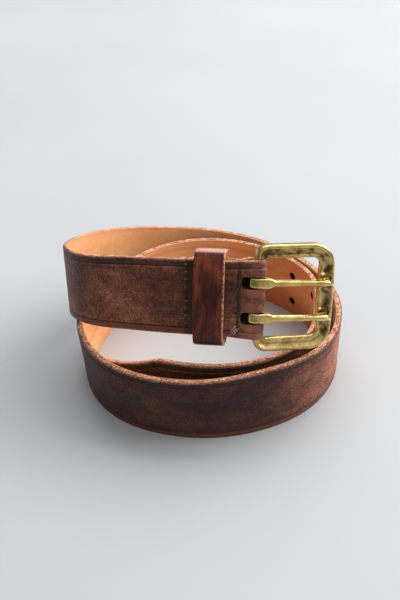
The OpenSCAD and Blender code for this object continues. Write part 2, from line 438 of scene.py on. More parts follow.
def grain_leather():
    """Outer face: dark, waxed and distressed, redder and lighter where it is worn."""
    f = Finish("leather_grain")
    lay = f.attribute("lay")
    s, w, _ = f.split(lay)
    rim = f.attribute("rim", vector=False)
    clouds = f.noise(f.stretch(lay, (0.55, 1, 1)), 26, 4, 0.6, 0.4)
    streaks = f.noise(f.stretch(lay, (0.12, 1, 1)), 2.2, 4, 0.65)
    patches = f.noise(lay, 7, 5, 0.65, 0.6)
    tone = f.plus(f.times(clouds, 0.5),
                  f.plus(f.times(streaks, 0.22), f.times(patches, 0.28)))
    colour = f.ramp(tone, (0.34, (0.022, 0.009, 0.006)), (0.45, (0.070, 0.026, 0.016)),
                    (0.55, (0.135, 0.052, 0.031)), (0.68, (0.27, 0.112, 0.064)))
    # The dye is redder and lighter over the first turn, darker after it
    first_turn = f.fade(s, 425, 480, 1.0, 0.0)
    colour = f.tint(colour, first_turn, 0.8, (1.75, 1.62, 1.55), "MULTIPLY")
    later = f.fade(s, 440, 490)
    colour = f.tint(colour, later, 0.8, (0.58, 0.62, 0.66), "MULTIPLY")
    # Painted highlight: this stretch, the lower loop's right side, is lightened where light from the right
    # falls on it
    lit_side_highlight = f.times(f.fade(s, 340, 385), f.fade(s, 415, 475, 1.0, 0.0))
    colour = f.tint(colour, lit_side_highlight, 0.9, (2.5, 2.25, 2.2), "MULTIPLY")
    rust = f.times(f.fade(w, -4, -13), f.fade(s, 45, 60))
    rust = f.times(rust, f.times(f.fade(s, 110, 135, 1.0, 0.0),
                                           f.fade(f.noise(lay, 4, 4, 0.7), 0.42, 0.62)))
    colour = f.tint(colour, rust, 0.75, (0.36, 0.125, 0.050))
    smoky = f.fade(f.noise(f.stretch(lay, (0.8, 1, 1)), 12, 3, 0.55), 0.52, 0.68, 0.0, 0.6)
    colour = f.mix(smoky, colour, (0.030, 0.016, 0.014))
    # Pebbled grain: dark in the furrows
    pebble = f.cells(f.stretch(lay, (1.0, 1.15, 1)), 0.85, 0.35)
    furrow = f.fade(pebble, 0.30, 0.72, 0.0, 1.0)
    pores = f.fade(f.noise(lay, 0.75, 3, 0.7), 0.50, 0.66)
    colour = f.tint(colour, pores, 0.45, (2.0, 1.8, 1.6), "MULTIPLY")
    colour = f.tint(colour, furrow, 0.55, (0.018, 0.007, 0.005))
    # Fine pale scuffs and a few long scratches
    scuff = f.fade(f.noise(f.stretch(lay, (0.35, 1.4, 1)), 1.3, 5, 0.75, 1.0), 0.60, 0.74)
    where = f.fade(f.noise(lay, 18, 2, 0.5), 0.46, 0.66)
    colour = f.tint(colour, f.times(scuff, where), 0.55, (0.30, 0.16, 0.105))
    tilt = f.join(f.plus(s, f.times(w, 0.7)), f.times(w, 1.0), 0.0)
    scratch = f.noise(f.stretch(tilt, (0.02, 1, 1)), 0.55, 2, 0.5)
    scratch = f.times(f.fade(scratch, 0.735, 0.775), f.fade(f.noise(lay, 11, 2), 0.52, 0.64))
    colour = f.tint(colour, scratch, 0.6, (0.33, 0.19, 0.13))
    # The border outside the crease is redder; the dark line in the crease is painted shade, and the light
    # line beside it is a painted highlight, stronger along the upper edge and over the first turn
    border = f.fade(rim, CREASE - 0.6, CREASE + 0.4, 1.0, 0.0)
    upper = f.fade(w, -3, 3, 0.0, 1.0)
    border_tone = f.mix(upper, (0.150, 0.052, 0.032), (0.030, 0.014, 0.011))
    colour = f.tint(colour, border, 0.62, border_tone)
    # Painted shade in the crease
    crease_shade_tone = f.mix(upper, (0.016, 0.008, 0.007), (0.045, 0.020, 0.014))
    colour = f.tint(colour, line_at(f, rim, CREASE, 0.6), 0.80, crease_shade_tone)
    # Painted highlight on the crease's upward-facing wall
    crease_highlight = f.times(line_at(f, rim, CREASE + 0.7, 0.6), f.fade(w, -3, 3, 0.10, 0.50))
    crease_highlight = f.times(crease_highlight, f.fade(f.noise(lay, 5, 3), 0.35, 0.6))
    crease_highlight = f.times(crease_highlight, f.fade(s, 150, 300, 1.0, 0.25))
    colour = f.mix(crease_highlight, colour, (0.30, 0.135, 0.085))
    worn = f.times(f.fade(rim, 0.15, 1.3, 1.0, 0.0), f.fade(f.noise(lay, 2.4, 4, 0.7), 0.38, 0.62))
    colour = f.tint(colour, worn, 0.75, (0.40, 0.205, 0.135))
    # Dark rings pressed round the holes, dark lines along the stitch rows
    dark = near_holes(f, s, w, HOLE_R - 0.2, HOLE_R + 2.4)
    colour = f.tint(colour, dark, 0.7, (0.022, 0.010, 0.008))
    for row in ROWS:
        colour = f.tint(colour, line_at(f, s, row, 1.3), 0.45, (0.022, 0.011, 0.009))
    # From the keeper to just past the second stitch row: dark wax, deepened by the painted shadow the
    # keeper casts
    ragged = f.plus(s, f.times(f.noise(lay, 1.6, 4, 0.7), 5.0))
    keeper_shadow_and_wax = f.times(f.fade(s, 29.5, 31.0), f.fade(ragged, 36.5, 39.5, 1.0, 0.0))
    keeper_shadow_and_wax = f.times(keeper_shadow_and_wax, f.fade(f.noise(lay, 1.1, 4, 0.7), 0.42, 0.58, 0.50, 0.86))
    colour = f.mix(keeper_shadow_and_wax, colour, (0.022, 0.011, 0.009))
    red = f.times(f.fade(s, 1.0, 8.0, 1.0, 0.0), f.fade(f.noise(lay, 6, 3), 0.35, 0.6))
    colour = f.tint(colour, red, 0.60, (0.34, 0.135, 0.082))
    # The groove is punched right through between the stitches
    half = STITCH_PITCH / 2
    along = f.math("ABSOLUTE", f.math("WRAP", w, half, -half))
    spot = f.math("SQRT", f.plus(f.math("POWER", f.math("SUBTRACT", along, half), 2.0),
                                 f.math("POWER", f.math("SUBTRACT", s, ROWS[1]), 2.0)))
    spot = f.times(f.fade(spot, 0.45, 0.95, 1.0, 0.0), f.fade(f.noise(lay, 2.5, 2), 0.35, 0.5))
    colour = f.tint(colour, spot, 0.75, (0.34, 0.135, 0.085))
    rough = f.plus(f.times(patches, 0.22),
                   f.plus(f.times(furrow, 0.16), 0.34))
    wrinkle = f.noise(f.stretch(lay, (1.0, 0.18, 1)), 3.2, 4, 0.6, 0.8)
    relief = f.bump(wrinkle, 0.30, 0.5)
    relief = f.bump(f.math("SUBTRACT", 1.0, pebble), 0.16, 0.75, relief)
    relief = f.bump(f.noise(lay, 0.35, 3, 0.6), 0.05, 0.6, relief)
    relief = f.bump(scratch, -0.08, 0.8, relief)
    f.set(base_color=colour, roughness=rough, normal=relief)
    f.set(specular_ior_level=0.20, sheen_weight=0.03, sheen_roughness=0.45,
          sheen_tint=(1.0, 0.86, 0.78))
    return f.mat


def flesh_leather():
    """Inner face: natural tan, fibrous and matt."""
    f = Finish("leather_flesh")
    lay = f.attribute("lay")
    s, w, _ = f.split(lay)
    rim = f.attribute("rim", vector=False)
    clouds = f.noise(f.stretch(lay, (0.5, 1, 1)), 30, 4, 0.6, 0.3)
    nap = f.noise(f.stretch(lay, (0.6, 1, 1)), 1.1, 5, 0.7, 0.8)
    tone = f.plus(f.times(clouds, 0.62), f.times(nap, 0.38))
    colour = f.ramp(tone, (0.30, (0.56, 0.205, 0.072)), (0.47, (0.76, 0.345, 0.145)),
                    (0.60, (0.86, 0.435, 0.200)), (0.74, (0.90, 0.52, 0.275)))
    fibre = f.noise(f.stretch(lay, (0.25, 1.2, 1)), 0.5, 4, 0.7, 1.5)
    colour = f.mix(f.fade(fibre, 0.56, 0.72, 0.0, 0.45), colour, (0.36, 0.14, 0.055))
    # Handling has darkened bands along it and the holes' surrounds
    band = f.fade(f.noise(f.stretch(lay, (0.05, 1, 1)), 9, 3, 0.5), 0.50, 0.68, 0.0, 0.35)
    colour = f.mix(band, colour, (0.42, 0.165, 0.065))
    dark = near_holes(f, s, w, HOLE_R - 0.1, HOLE_R + 1.5)
    colour = f.tint(colour, dark, 0.62, (0.14, 0.05, 0.02))
    edge = f.fade(rim, 0.2, 1.6, 1.0, 0.0)
    colour = f.tint(colour, edge, 0.35, (0.34, 0.12, 0.05))
    # The holed end is darker, and towards its lower edge a painted contact shadow darkens it further
    holed_end = f.fade(s, 700, 780)
    colour = f.tint(colour, holed_end, 0.8, (0.86, 0.70, 0.56), "MULTIPLY")
    # Painted contact shadow along the lower edge of the holed end
    low = f.times(holed_end, f.fade(w, 6, -16))
    colour = f.tint(colour, low, 0.8, (0.42, 0.34, 0.30), "MULTIPLY")
    # Painted shade inside the fold, by the slots for the prongs
    beside = f.math("ABSOLUTE", f.math("SUBTRACT", f.math("ABSOLUTE", w), PAIR_PITCH / 2))
    slot_pocket_shade = f.times(f.fade(beside, 3.5, 6.0, 1.0, 0.0), f.fade(s, 8.0, 11.0, 1.0, 0.0))
    slot_pocket_shade = f.times(slot_pocket_shade, f.fade(s, -BEND - 16, -BEND - 11))
    # Painted shade: the inside of the pocket by each slot is darkened to near black
    colour = f.tint(colour, slot_pocket_shade, 0.95, (0.012, 0.006, 0.005))
    relief = f.bump(nap, 0.22, 0.7)
    relief = f.bump(fibre, 0.12, 0.8, relief)
    f.set(base_color=colour, roughness=f.fade(nap, 0.3, 0.7, 0.95, 0.78), normal=relief)
    f.set(specular_ior_level=0.15, sheen_weight=0.06, sheen_roughness=0.6,
          sheen_tint=(1.0, 0.85, 0.7))
    return f.mat


def cut_edge(name="leather_edge"):
    """Cut edge: pale and fibrous with red-brown speckle, darker and smoother where burnished."""
    f = Finish(name)
    lay = f.attribute("lay")
    h = f.split(lay)[2]
    fibres = f.noise(f.stretch(lay, (1.0, 0.7, 1.2)), 0.8, 4, 0.7, 0.4)
    specks = f.noise(f.stretch(lay, (0.6, 1, 1.2)), 2.6, 4, 0.7)
    tone = f.plus(f.times(fibres, 0.75), f.times(specks, 0.25))
    colour = f.ramp(tone, (0.42, (0.13, 0.030, 0.014)), (0.475, (0.36, 0.115, 0.055)),
                    (0.53, (0.60, 0.270, 0.150)), (0.60, (0.90, 0.60, 0.42)))
    burnt = f.fade(f.noise(f.stretch(lay, (0.25, 1, 1)), 9, 3, 0.6), 0.56, 0.68, 0.0, 0.5)
    colour = f.mix(burnt, colour, (0.19, 0.070, 0.042))
    # A thin dark line where the dye of the outer face ends
    dye = f.fade(h, 0.75, 1.25, 0.0, 0.75)
    colour = f.mix(dye, colour, (0.10, 0.040, 0.026))
    relief = f.bump(fibres, 0.45, 0.9)
    f.set(base_color=colour, roughness=f.fade(specks, 0.35, 0.65, 0.85, 0.55), normal=relief)
    f.set(specular_ior_level=0.35)
    return f.mat


def hole_wall():
    """Inside the punched holes and slots: dark, compressed leather."""
    f = Finish("leather_punched")
    lay = f.attribute("lay")
    fibres = f.noise(f.stretch(lay, (1, 1, 2)), 0.6, 4, 0.7)
    colour = f.ramp(fibres, (0.35, (0.006, 0.003, 0.003)), (0.55, (0.020, 0.009, 0.006)),
                    (0.75, (0.060, 0.024, 0.014)))
    f.set(base_color=colour, roughness=f.fade(fibres, 0.3, 0.7, 0.85, 0.65),
          normal=f.bump(fibres, 0.2, 0.7))
    return f.mat


def keeper_leather():
    """Keeper: waxed chestnut red with streaks along the band and dark handling marks."""
    f = Finish("keeper_grain")
    lay = f.attribute("lay")
    x, p, _ = f.split(lay)
    streaks = f.noise(f.stretch(lay, (1.0, 0.07, 1)), 1.5, 4, 0.65, 0.3)
    clouds = f.noise(f.stretch(lay, (1, 0.45, 1)), 7, 4, 0.6, 0.5)
    tone = f.plus(f.times(streaks, 0.52), f.times(clouds, 0.48))
    colour = f.ramp(tone, (0.34, (0.010, 0.002, 0.002)), (0.45, (0.040, 0.008, 0.005)),
                    (0.54, (0.110, 0.020, 0.009)), (0.66, (0.27, 0.055, 0.020)))
    # Handling has darkened the middle of the band; it is orange below the top bend, and a painted
    # highlight lies pale on the bend
    middle = f.times(f.fade(f.math("ABSOLUTE", f.math("SUBTRACT", x, 1.2)), 1.0, 3.8, 1.0, 0.0),
                    f.fade(streaks, 0.38, 0.60))
    colour = f.tint(colour, middle, 0.55, (0.020, 0.006, 0.005))
    glow = f.times(f.fade(p, 10.0, 17.0), f.fade(p, 21.0, 25.0, 1.0, 0.0))
    glow = f.times(glow, f.fade(clouds, 0.40, 0.62, 0.25, 1.0))
    colour = f.tint(colour, glow, 0.55, (0.38, 0.080, 0.026))
    # Painted highlight along the keeper's top bend
    bend_highlight = f.times(f.fade(p, 24.0, 26.0), f.fade(p, 28.0, 30.5, 1.0, 0.0))
    colour = f.tint(colour, bend_highlight, 0.72, (0.85, 0.42, 0.31))
    sides = f.times(f.fade(f.math("ABSOLUTE", x), 3.2, 6.0), f.fade(clouds, 0.40, 0.58, 0.2, 1.0))
    colour = f.tint(colour, sides, 0.45, (0.24, 0.042, 0.017))
    pebble = f.cells(lay, 0.7, 0.4)
    colour = f.mix(f.fade(pebble, 0.32, 0.75, 0.0, 0.30), colour, (0.022, 0.007, 0.005))
    rim = f.attribute("rim", vector=False)
    pale_rim = f.times(line_at(f, rim, 0.2, 1.0), f.fade(x, -2, 2))
    colour = f.tint(colour, pale_rim, f.fade(f.noise(lay, 1.5, 4), 0.35, 0.6), (0.55, 0.28, 0.17))
    relief = f.bump(f.noise(f.stretch(lay, (1, 0.25, 1)), 2.4, 3), 0.22, 0.5)
    relief = f.bump(f.math("SUBTRACT", 1.0, pebble), 0.10, 0.7, relief)
    relief = f.bump(f.noise(lay, 0.3, 2), 0.04, 0.5, relief)
    f.set(base_color=colour, roughness=f.fade(clouds, 0.35, 0.65, 0.30, 0.46), normal=relief)
    f.set(specular_ior_level=0.20, coat_weight=0.14, coat_roughness=0.20)
    return f.mat


def worn_brass():
    """Polished cast brass: fine scratches, soft patina in the hollow darkened further by a painted dark
    reflection, bright lips.
    """
    f = Finish("brass_polished")
    here = f.here()
    hollow = f.attribute("hollow", vector=False)
    clouds = f.noise(here, 5.5, 4, 0.6, 0.4)
    fine = f.noise(f.stretch(here, (1, 1, 0.15)), 0.35, 3, 0.6)
    swirl = f.noise(f.stretch(here, (0.15, 1, 1)), 0.45, 3, 0.6)
    colour = f.ramp(clouds, (0.30, (0.46, 0.305, 0.092)), (0.52, (0.68, 0.490, 0.185)),
                    (0.72, (0.84, 0.665, 0.31)))
    # Dark olive in the hollow: partly patina, partly a painted dark reflection of the surroundings
    tarnish_and_dark_reflection = f.times(hollow, f.fade(clouds, 0.40, 0.58, 1.0, 0.40))
    colour = f.tint(colour, tarnish_and_dark_reflection, 0.94, (0.075, 0.047, 0.014))
    specks = f.fade(f.noise(here, 0.9, 4, 0.7), 0.63, 0.76, 0.0, 0.55)
    colour = f.mix(specks, colour, (0.22, 0.15, 0.05))
    rough = f.plus(f.fade(clouds, 0.3, 0.7, 0.09, 0.20), f.times(tarnish_and_dark_reflection, 0.12))
    relief = f.bump(f.noise(here, 2.6, 3, 0.5), 0.10, 0.35)
    relief = f.bump(f.plus(fine, swirl), 0.012, 0.5, relief)
    f.set(base_color=colour, metallic=1.0, roughness=rough, normal=relief)
    return f.mat


def waxed_thread(name, dark, light):
    f = Finish(name)
    lay = f.attribute("lay")
    x, y, _ = f.split(lay)
    twist = f.math("SINE", f.times(f.plus(x, f.times(y, 0.35)), 9.0))
    fuzz = f.noise(lay, 0.5, 4, 0.7)
    tone = f.plus(f.times(twist, 0.22), fuzz)
    colour = f.ramp(tone, (0.30, dark), (0.75, light))
    relief = f.bump(twist, 0.12, 0.8)
    relief = f.bump(fuzz, 0.06, 0.6, relief)
    f.set(base_color=colour, roughness=f.fade(fuzz, 0.3, 0.7, 0.62, 0.85), normal=relief)
    return f.mat


GRAIN, FLESH, EDGE, PUNCHED = grain_leather(), flesh_leather(), cut_edge(), hole_wall()
KEEPER, BRASS = keeper_leather(), worn_brass()
DARK_THREAD = waxed_thread("thread_dark", (0.012, 0.006, 0.004), (0.085, 0.042, 0.028))
PALE_THREAD = waxed_thread("thread_frayed", (0.26, 0.125, 0.105), (0.72, 0.46, 0.40))


# ---------------------------------------------------------------- strap
def strap_section():
    """Half sections in from one edge: (distance in from the edge, height from that face)."""
    top = [(0.75 * (1 - math.sin(a)), -0.75 * (1 - math.cos(a)))
           for a in np.radians([0, 30, 60, 90])][::-1]
    top += [(1.4, 0.02), (2.3, 0.05), (3.0, 0.02), (3.35, -0.12), (CREASE, -0.42), (4.05, -0.12),
            (4.4, 0.02), (5.4, 0.05), (7.6, 0.05), (10.5, 0.04), (13.5, 0.02), (16.6, 0.01), (20, 0.0)]
    under = [(0.45 * (1 - math.sin(a)), -0.45 * (1 - math.cos(a)))
             for a in np.radians([0, 45, 90])][::-1]
    under += [(1.6, 0.0), (4.0, 0.03), (7.0, 0.04), (10.5, 0.04), (14, 0.02), (17, 0.01), (20, 0.0)]
    return top, under


def strap_ring(s):
    """One closed ring of the flat strap at s, with its material bands."""
    d = abs(s + BEND) if s < -BEND else max(s, 0.0)
    hw = float(half_width(d))
    t = float(thickness(s))
    top, under = strap_section()

    def place(e):
        keep = 5.4
        near = min(1.0, hw / 9)
        if e <= keep:
            return hw - e * near
        inner = hw - keep * near
        return inner * (20 - e) / (20 - keep)

    wave = 0.10 * wander(s, 0, 23, 3.0)
    deep = min(1.0, hw / 9)
    ring, bands = [], []
    for side in (1, -1):
        run = top if side > 0 else top[-2::-1]
        for e, k in run:
            w = side * place(e)
            sunk = 0.0
            if s > 3:
                for row in ROWS:
                    sunk += 0.28 * math.exp(-((s - row) / 0.75) ** 2) * (abs(w) < 17.9)
            rise = 0.10 * wander(s, w, 14, 7.0) * min(1, e / 3)
            ring.append((s, w + side * wave * (e < 6), t / 2 + k * deep - sunk + rise))
            bands.append(0)
    # down the far edge, back along the flesh side, up the near edge
    for side in (-1, 1):
        run = under if side < 0 else under[-2::-1]
        if side < 0:
            ring.append((s, -hw - 0.12 * deep - wave, 0.25 * t))
            ring.append((s, -hw - 0.16 * deep - wave, -0.05 * t))
            bands += [2, 2]
        for e, k in run:
            w = side * place(e)
            ring.append((s, w + side * wave * (e < 6), -t / 2 - k * deep))
            bands.append(1)
    ring.append((s, hw + 0.16 * deep + wave, -0.05 * t))
    ring.append((s, hw + 0.12 * deep + wave, 0.25 * t))
    bands += [2, 2]
    n_top = 2 * len(top) - 1
    bands[n_top - 1] = 2
    bands[n_top - 2] = 2
    bands[0] = bands[1] = 2
    bands[n_top + 2] = 2
    bands[-3] = 2
    return ring, bands


def lathe(profile, middle, sides=40):
    """A closed turned body about h: profile of (radius, height)."""
    rings = []
    for r, z in profile:
        rings.append([(middle[0] + r * math.cos(a), middle[1] + r * math.sin(a), z)
                      for a in np.linspace(0, 2 * math.pi, sides, endpoint=False)])
    return loft(np.array(rings))


def slot_cutter(middle, steps):
    """A long slot with rounded ends, cut through the fold for one prong."""
    half, r = SLOT_HALF, SLOT_CORNER
    start, end = -BEND - SLOT_BACK, SLOT_FRONT
    inside = [s for s in steps if start + r + 0.3 < s < end - r - 0.3]
    line = [(start + r * (1 - math.cos(a)), half - r * (1 - math.sin(a)))
            for a in np.radians([0, 22, 45, 68, 90])]
    line += [(s, half) for s in inside]
    line += [(end - r * (1 - math.cos(a)), half - r * (1 - math.sin(a)))
             for a in np.radians([90, 68, 45, 22, 0])]
    outline = line + [(s, -w) for s, w in reversed(line)]
    rings = [[(s, middle + w, z) for s, w in outline] for z in (-3.4, 3.4)]
    return loft(np.array(rings))


def build_strap():
    steps = list(np.linspace(BACK_END, -BEND, 30)) + list(np.linspace(-BEND, 0, 17)[1:])
    steps += list(np.arange(0.6, 46, 0.6)) + list(np.arange(47, SHOULDER + POINT_LEN - 2, 2.2))
    steps += [SHOULDER + POINT_LEN - k for k in (1.6, 1.0, 0.5, 0.2, 0.0)]
    made = [strap_ring(s) for s in steps]
    rings = np.array([m[0] for m in made])
    # Round the two ends over
    for i, pinch in ((0, 0.72), (1, 1.0), (-1, 0.35), (-2, 0.7), (-3, 0.88)):
        rings[i, :, 1:] *= pinch
    skin = loft(rings, loop_bands=made[0][1], cap_band=2)
    obj = make_object("strap_leather", *skin[:2], [GRAIN, FLESH, EDGE, PUNCHED], skin[2])
    cuts = []
    for i in range(HOLE_PAIRS):
        for side in (-1, 1):
            place = (HOLE_FIRST + i * HOLE_STEP, side * PAIR_PITCH / 2)
            top, r = STRAP_T / 2, HOLE_R
            cuts.append(lathe([(0.01, -4), (r + 0.7, -4), (r + 0.45, -top - 0.15), (r + 0.12, -top + 0.15),
                               (r, -top + 0.5), (r, top - 0.65), (r + 0.12, top - 0.3),
                               (r + 0.45, top + 0.02), (r + 0.8, top + 0.25), (r + 0.8, 4),
                               (0.01, 4)], place))
    for side in (-1, 1):
        cuts.append(slot_cutter(side * PAIR_PITCH / 2, steps))
    cut_skin = join_parts(cuts)
    mats = [GRAIN, FLESH, EDGE, PUNCHED]
    tool = make_object("strap_cutters", *cut_skin[:2], mats, [3] * len(cut_skin[1]))
    change = obj.modifiers.new("holes", "BOOLEAN")
    change.operation, change.solver, change.object = "DIFFERENCE", "EXACT", tool
    bpy.context.view_layer.update()
    seen = obj.evaluated_get(bpy.context.evaluated_depsgraph_get())
    mesh = bpy.data.meshes.new_from_object(seen)
    obj.modifiers.clear()
    obj.data = mesh
    bpy.data.objects.remove(tool)
    flat = np.zeros(len(mesh.vertices) * 3)
    mesh.vertices.foreach_get("co", flat)
    flat = flat.reshape(-1, 3)
    store(obj, "lay", flat)
    d = np.where(flat[:, 0] < -BEND, -BEND - flat[:, 0], np.maximum(flat[:, 0], 0))
    store(obj, "rim", half_width(d) - np.abs(flat[:, 1]))
    mesh.vertices.foreach_set("co", lay_strap(flat).ravel())
    mesh.polygons.foreach_set("use_smooth", [True] * len(mesh.polygons))
    mesh.set_sharp_from_angle(angle=math.radians(52))
    mesh.update()
    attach(obj, "strap")
    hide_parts("strap")


# ---------------------------------------------------------------- stitches
def cord_mesh(points, radii, sides=10):
    """A round thread along points: vertices, faces, bands and thread coordinates."""
    p = np.asarray(points, float)
    tangent = unit(np.gradient(p, axis=0))
    ref = np.array([0.3, 0.2, 0.93])
    side = unit(np.cross(tangent, ref))
    other = np.cross(tangent, side)
    angles = np.linspace(0, 2 * math.pi, sides, endpoint=False)
    rings = [[p[i] + radii[i] * (math.cos(a) * side[i] + math.sin(a) * other[i]) for a in angles]
             for i in range(len(p))]
    run = np.concatenate([[0], np.cumsum(np.linalg.norm(np.diff(p, axis=0), axis=1))])
    lay = np.array([[run[i], a * 1.2, 0] for i in range(len(p)) for a in angles])
    return loft(np.array(rings)), lay


def stitch_row(name, node, d, frayed):
    """Slanted stitches in a pressed groove, on both faces, with cut thread ends."""
    c, x, y, z = strap_axes(d)
    top = STRAP_T / 2 - 0.06
    under = -(STRAP_T / 2 + 0.5 + FOLD_T)
    parts, lays = [], []

    def add(points, radii):
        part, lay = cord_mesh(points, radii)
        parts.append(part)
        lays.append(lay)

    for i in range(STITCHES):
        y0 = -STITCH_SPAN / 2 + i * STITCH_PITCH + 0.6
        y1 = y0 + STITCH_PITCH - 1.2
        lean = 0.22 + 0.08 * wander(i, d, 1.7)
        for face, way in ((top, 1), (under, -1)):
            pts = catmull([(-lean, y0 - 0.12, face - 1.1 * way), (-lean, y0, face - 0.2 * way),
                           (-lean * 0.5, y0 + 0.6, face + 0.30 * way),
                           (0, (y0 + y1) / 2, face + 0.40 * way),
                           (lean * 0.5, y1 - 0.6, face + 0.30 * way),
                           (lean, y1, face - 0.2 * way), (lean, y1 + 0.12, face - 1.1 * way)],
                          3, closed=False)
            add(pts, [0.30] * 3 + [0.43] * (len(pts) - 6) + [0.30] * 3)
    verts, faces, bands = join_parts(parts)
    obj = make_object(name, local_to_model(verts, c, x, y, z), faces, [DARK_THREAD, PALE_THREAD], bands)
    store(obj, "lay", np.vstack(lays))
    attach(obj, "strap")
    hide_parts(node)
    # Pale cut ends stand up in a tuft past the upper end of the row
    parts, lays = [], []
    edge = STRAP_W / 2
    for k in range(11 if frayed else 7):
        dx = 1.1 * math.sin(2.3 * k + d)
        tall = 1.0 + 0.6 * math.cos(1.7 * k + d)
        pts = catmull([(0.3 * dx, edge - 1.8, 0.6), (0.5 * dx, edge + 0.1, 0.8 - 0.12 * k),
                       (0.9 * dx, edge + 0.35 + 0.4 * tall, 0.5 - 0.18 * k),
                       (dx + 0.5 * math.sin(3.1 * k), edge + 0.2 + tall, 0.2 - 0.2 * k)], 4, closed=False)
        add(pts, np.linspace(0.20, 0.07, len(pts)))
    if frayed:
        # A knot of thick frayed strands, side by side, at the lower end of the row
        for k in range(3):
            off = 1.05 * k - 1.0
            start = (-2.9 + 0.8 * off, -18.1 - 0.6 * off + 0.4 * (k % 2), top + 0.45)
            end = (-0.7 + 0.8 * off, -15.0 - 0.6 * off - 0.3 * (k % 2), top + 0.35)
            bow = ((start[0] + end[0]) / 2 - 0.1, (start[1] + end[1]) / 2 + 0.2,
                   top + 0.95 + 0.15 * (k % 2))
            pts = catmull([start, bow, end, (end[0] + 0.5, end[1] + 0.6, top - 0.4)], 5, closed=False)
            add(pts, [0.16] + [0.33] * (len(pts) - 3) + [0.28, 0.16])
        for k in range(9):
            a = 0.6 + 0.35 * k
            root = (-3.0 + 0.22 * k, -18.2 + 0.3 * k, top + 0.5)
            tip = (root[0] - 1.3 * math.cos(a), root[1] - 1.1 * math.sin(a), top + 0.6 + 0.2 * (k % 3))
            pts = catmull([root, ((root[0] + tip[0]) / 2, (root[1] + tip[1]) / 2 + 0.2, top + 0.9), tip],
                          4, closed=False)
            add(pts, np.linspace(0.16, 0.06, len(pts)))
    verts, faces, bands = join_parts(parts)
    knot = make_object(name + "_ends", local_to_model(verts, c, x, y, z), faces, [PALE_THREAD], bands)
    store(knot, "lay", np.vstack(lays))
    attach(knot, "strap")


# ---------------------------------------------------------------- keeper
def build_keeper():
    """A bulging loop of leather, thin where it passes between the strap's layers."""
    half = [(0, 8.25), (8, 8.2), (15, 7.95), (20.0, 7.45), (23.3, 6.3), (25.1, 4.1), (25.5, 1.5),
            (25.3, -1.2), (24.4, -3.0), (22.8, -4.0), (20.0, -4.2), (10, -4.25)]
    outer = catmull(half + [(0, -4.25)] + [(-y, z) for y, z in half[:0:-1]], 5)
    tangent = unit(np.roll(outer, -1, axis=0) - np.roll(outer, 1, axis=0))
    inward = np.stack([tangent[:, 1], -tangent[:, 0]], 1)
    inward *= np.sign(-(inward * (outer - [0, 2])).sum(1))[:, None]
    behind = np.clip((-1.5 - outer[:, 1]) / 2.5, 0, 1)
    thick = 2.6 - 1.25 * behind
    run = np.concatenate([[0], np.cumsum(np.linalg.norm(np.diff(outer, axis=0), axis=1))])
    # Section across the band: (place along x, depth below the outer face as a share of thickness)
    hw = KEEPER_W / 2
    section = [(-hw + 0.08, 0.62), (-hw, 0.35), (-hw + 0.06, 0.16), (-hw + 0.35, 0.04), (-hw + 0.9, 0.0),
               (-5.5, -0.02), (-2.5, -0.035), (0, -0.04), (2.5, -0.035), (5.5, -0.02), (hw - 0.9, 0.0),
               (hw - 0.35, 0.04), (hw - 0.06, 0.16), (hw, 0.35), (hw - 0.08, 0.62), (hw - 0.25, 0.9),
               (hw - 0.6, 1.0), (4, 1.0), (0, 1.0), (-4, 1.0), (-hw + 0.6, 1.0), (-hw + 0.25, 0.9)]
    bands = [1] * 2 + [0] * 10 + [1] * 3 + [2] * 6 + [1]
    total = run[-1] + np.linalg.norm(outer[-1] - outer[0])
    run = np.where(run > total / 2, run - total, run)
    rings, lays, rims = [], [], []
    for i, p in enumerate(outer):
        swell = 1 + 0.012 * math.sin(run[i] / 9.0)
        ring = []
        for x, q in section:
            yz = p + inward[i] * q * thick[i]
            skew = 0.25 * wander(run[i], 0 if x > 0 else 9, 15, 2.0) + 0.08 * (8.25 - yz[1])
            ring.append((x * swell + skew, yz[0] + KEEPER_UP, yz[1]))
            lays.append((x, run[i], thick[i] / 2 - q * thick[i]))
            rims.append(hw - abs(x))
        rings.append(ring)
    verts, faces, mat_of = loft(np.array(rings), wrap=True, loop_bands=bands)
    c, x, y, z = strap_axes(KEEPER_AT)
    edge = cut_edge("keeper_edge")
    obj = make_object("keeper_loop", local_to_model(verts, c, x, y, z), faces, [KEEPER, edge, FLESH],
                      mat_of, sharp=50)
    store(obj, "lay", lays)
    store(obj, "rim", rims)
    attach(obj, "keeper")
    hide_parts("keeper")


# ---------------------------------------------------------------- buckle
RAIL = [(0.7, -1.6), (0.2, -1.4), (0.0, -0.9), (0.0, 0.6), (0.02, 1.9), (0.18, 2.6), (0.6, 3.1),
        (1.15, 3.3), (1.75, 3.2), (2.3, 2.85), (3.0, 2.35), (3.9, 1.98), (4.8, 1.85), (5.6, 1.92),
        (6.2, 2.12), (6.7, 2.22), (7.2, 2.05), (7.5, 1.6), (7.6, 0.9), (7.6, -0.9), (7.4, -1.4),
        (6.9, -1.6), (4.0, -1.6)]
# How much patina and painted dark reflection each point of the rail's section takes, from 0 to 1
HOLLOW = [0, 0, 0, 0, 0, 0, 0, 0, 0.2, 0.7, 1, 1, 1, 1, 0.6, 0.1, 0, 0.1, 0.5, 0.7, 0.6, 0.6, 0.6]


